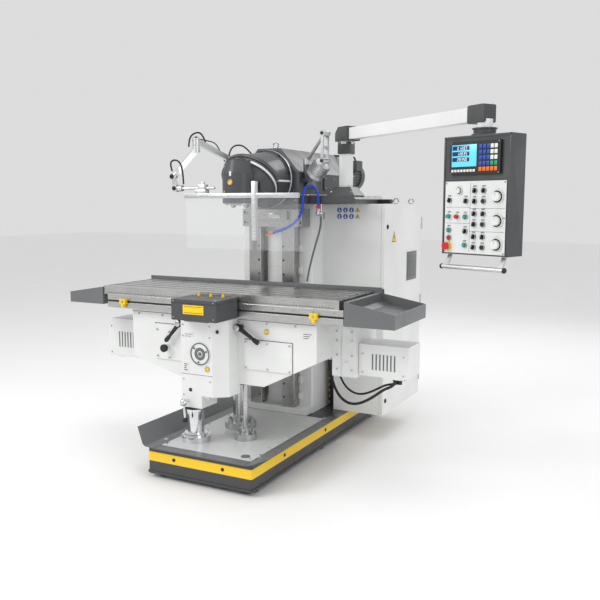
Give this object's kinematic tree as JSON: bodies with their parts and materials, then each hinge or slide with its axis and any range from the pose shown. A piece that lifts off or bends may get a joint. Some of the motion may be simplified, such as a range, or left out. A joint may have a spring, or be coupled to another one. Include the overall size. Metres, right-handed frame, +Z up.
{
  "type": "knee-type universal milling machine",
  "caption": "Knee-type universal milling machine: swivelling ram head, T-slot table on saddle and knee, electrical cabinet and swing-arm control pendant.",
  "frame": {"origin": "on the floor, at the centre of the four anchor bolts in the base", "axes": "+X along the table to the operator's right, +Y from the operator back to the column, +Z up"},
  "size_m": [3.0575, 2.336, 2.243],
  "materials": {
    "white_paint": "semi-gloss",
    "dark_paint": "satin",
    "grey_sheet": "satin",
    "ground_steel": "ground",
    "cast": "machined",
    "chromed": "polished",
    "alloy": "satin",
    "black_plastic": "matte",
    "red_plastic": "gloss",
    "green_plastic": "gloss",
    "blue_plastic": "gloss",
    "white_plastic": "gloss",
    "brass": "polished",
    "cable": "matte",
    "clear": "clear",
    "yellow_paint": "gloss"
  },
  "bodies": {
    "frame": {"base": "dark_paint", "leveling_feet": "dark_paint", "deck_plate": "white_paint", "drip_tray": "grey_sheet", "column": "white_paint", "column_ways": "ground_steel", "column_head_block": "ground_steel", "support_column": "chromed", "lift_columns": "ground_steel", "electrical_cabinet": "white_paint", "ram_slideway": "dark_paint", "pendant_post": "white_paint", "coolant_valve": "brass", "coolant_hose": "blue_plastic", "valve_hose": "cable", "cable_chain": "black_plastic"},
    "cabinet_door": {"cabinet_door": "white_paint", "door_locks": "black_plastic"},
    "knee": {"knee": "white_paint", "knee_cover_plates": "white_paint", "drive_bracket": "white_paint", "right_motor_cover": "white_paint", "left_motor_cover": "white_paint", "servo_motor": "black_plastic", "servo_cable_a": "cable", "servo_cable_b": "cable"},
    "support_clamp": {"support_clamp_lever": "chromed"},
    "left_lock": {"left_lock_lever": "black_plastic"},
    "right_lock": {"right_lock_lever": "black_plastic"},
    "saddle": {"saddle": "cast", "switch_box": "dark_paint"},
    "table": {"table": "ground_steel", "dog_rail": "ground_steel", "trip_dogs": "yellow_paint", "splash_trays": "grey_sheet"},
    "ram": {"ram": "dark_paint", "spindle_motor": "dark_paint"},
    "swivel": {"swivel_body": "dark_paint"},
    "head": {"spindle_head": "dark_paint"},
    "spindle": {"spindle": "ground_steel"},
    "guard_upper": {"guard_upper_arm": "alloy", "guard_cable": "cable"},
    "guard_lower": {"guard_lower_arm": "alloy"},
    "guard_screen": {"guard_screen": "clear"},
    "lamp_lower": {"lamp_lower_link": "alloy"},
    "lamp_upper": {"lamp_upper_link": "alloy"},
    "lamp_head": {"lamp_head": "alloy"},
    "pendant_arm": {"pendant_arm": "white_paint"},
    "pendant": {"pendant_housing": "dark_paint", "control_panel": "white_paint", "dro_unit": "black_plastic", "pendant_handle": "alloy", "panel_switches": "black_plastic"},
    "estop": {"estop_button": "red_plastic"},
    "start": {"start_button": "green_plastic"},
    "stop": {"stop_button": "red_plastic"},
    "dial_x": {"feed_dial_x": "white_plastic"},
    "dial_y": {"feed_dial_y": "white_plastic"},
    "dial_z": {"feed_dial_z": "white_plastic"},
    "speed": {"speed_knob": "white_plastic"}
  },
  "joints": [
    {"name": "door_hinge", "type": "hinge", "parent": "frame", "child": "cabinet_door", "pos_m": [0.69, 1.112, 0.96], "axis": [0, 0, 1], "range_deg": [0, 110]},
    {"name": "knee_slide", "type": "slide", "parent": "frame", "child": "knee", "axis": [0, 0, 1], "range_m": [-0.12, 0.16]},
    {"name": "support_clamp_turn", "type": "hinge", "parent": "knee", "child": "support_clamp", "pos_m": [-0.18, -0.888, 0.482], "axis": [0, 1, 0], "range_deg": [-60, 60]},
    {"name": "left_lock_turn", "type": "hinge", "parent": "knee", "child": "left_lock", "pos_m": [-0.33, -0.679, 0.95], "axis": [0, 1, 0], "range_deg": [-35, 35]},
    {"name": "right_lock_turn", "type": "hinge", "parent": "knee", "child": "right_lock", "pos_m": [0.118, -0.67, 0.955], "axis": [0, 1, 0], "range_deg": [-35, 35]},
    {"name": "saddle_slide", "type": "slide", "parent": "knee", "child": "saddle", "axis": [0, 1, 0], "range_m": [-0.15, 0.15]},
    {"name": "table_slide", "type": "slide", "parent": "saddle", "child": "table", "axis": [1, 0, 0], "range_m": [-0.49, 0.54]},
    {"name": "ram_slide", "type": "slide", "parent": "frame", "child": "ram", "axis": [0, 1, 0], "range_m": [-0.3, 0.02]},
    {"name": "swivel_turn", "type": "hinge", "parent": "ram", "child": "swivel", "pos_m": [-0.08, -0.05, 1.893], "axis": [0, 1, 0], "range_deg": [-30, 30]},
    {"name": "head_turn", "type": "hinge", "parent": "swivel", "child": "head", "pos_m": [-0.08, -0.22, 1.89], "axis": [0, -0.7071, -0.7071], "range_deg": [0, 180]},
    {"name": "spindle_spin", "type": "hinge", "parent": "head", "child": "spindle", "pos_m": [-0.08, -0.364, 1.71], "axis": [0, 0, 1], "continuous": true},
    {"name": "guard_root_turn", "type": "hinge", "parent": "ram", "child": "guard_upper", "pos_m": [-0.29, -0.16, 1.988], "axis": [0, 0, 1], "range_deg": [-70, 2]},
    {"name": "guard_elbow_turn", "type": "hinge", "parent": "guard_upper", "child": "guard_lower", "pos_m": [-0.31, -0.52, 2.116], "axis": [0, 0, 1], "range_deg": [-50, 2]},
    {"name": "guard_tilt", "type": "hinge", "parent": "guard_lower", "child": "guard_screen", "pos_m": [-0.335, -0.662, 1.82], "axis": [1, 0, 0], "range_deg": [-60, 6]},
    {"name": "lamp_base_turn", "type": "hinge", "parent": "ram", "child": "lamp_lower", "pos_m": [0.178, 0.112, 1.993], "axis": [0, 0, 1], "range_deg": [-35, 6]},
    {"name": "lamp_elbow_turn", "type": "hinge", "parent": "lamp_lower", "child": "lamp_upper", "pos_m": [0.362, 0.02, 2.194], "axis": [0.247, 0.969, 0], "range_deg": [-25, 6]},
    {"name": "lamp_head_turn", "type": "hinge", "parent": "lamp_upper", "child": "lamp_head", "pos_m": [0.362, 0.02, 2.01], "axis": [0.247, 0.969, 0], "range_deg": [-35, 15]},
    {"name": "pendant_arm_turn", "type": "hinge", "parent": "frame", "child": "pendant_arm", "pos_m": [0.44, 0.2, 2.15], "axis": [0, 0, 1], "range_deg": [-15, 30]},
    {"name": "pendant_turn", "type": "hinge", "parent": "pendant_arm", "child": "pendant", "pos_m": [1.58387, -0.56895, 2.12], "axis": [0, 0, 1], "range_deg": [-45, 45]},
    {"name": "estop_press", "type": "slide", "parent": "pendant", "child": "estop", "axis": [0.3827, 0.9239, 0], "range_m": [0, 0.006], "stiffness_N_per_m": 900},
    {"name": "start_press", "type": "slide", "parent": "pendant", "child": "start", "axis": [0.3827, 0.9239, 0], "range_m": [0, 0.003], "stiffness_N_per_m": 500},
    {"name": "stop_press", "type": "slide", "parent": "pendant", "child": "stop", "axis": [0.3827, 0.9239, 0], "range_m": [0, 0.003], "stiffness_N_per_m": 500},
    {"name": "feed_dial_x_turn", "type": "hinge", "parent": "pendant", "child": "dial_x", "pos_m": [1.69481, -0.68525, 1.758], "axis": [-0.3827, -0.9239, 0], "range_deg": [-140, 140]},
    {"name": "feed_dial_y_turn", "type": "hinge", "parent": "pendant", "child": "dial_y", "pos_m": [1.69481, -0.68525, 1.633], "axis": [-0.3827, -0.9239, 0], "range_deg": [-140, 140]},
    {"name": "feed_dial_z_turn", "type": "hinge", "parent": "pendant", "child": "dial_z", "pos_m": [1.69481, -0.68525, 1.51], "axis": [-0.3827, -0.9239, 0], "range_deg": [-140, 140]},
    {"name": "speed_knob_turn", "type": "hinge", "parent": "pendant", "child": "speed", "pos_m": [1.46476, -0.58997, 1.791], "axis": [-0.3827, -0.9239, 0], "range_deg": [-140, 140]}
  ]
}
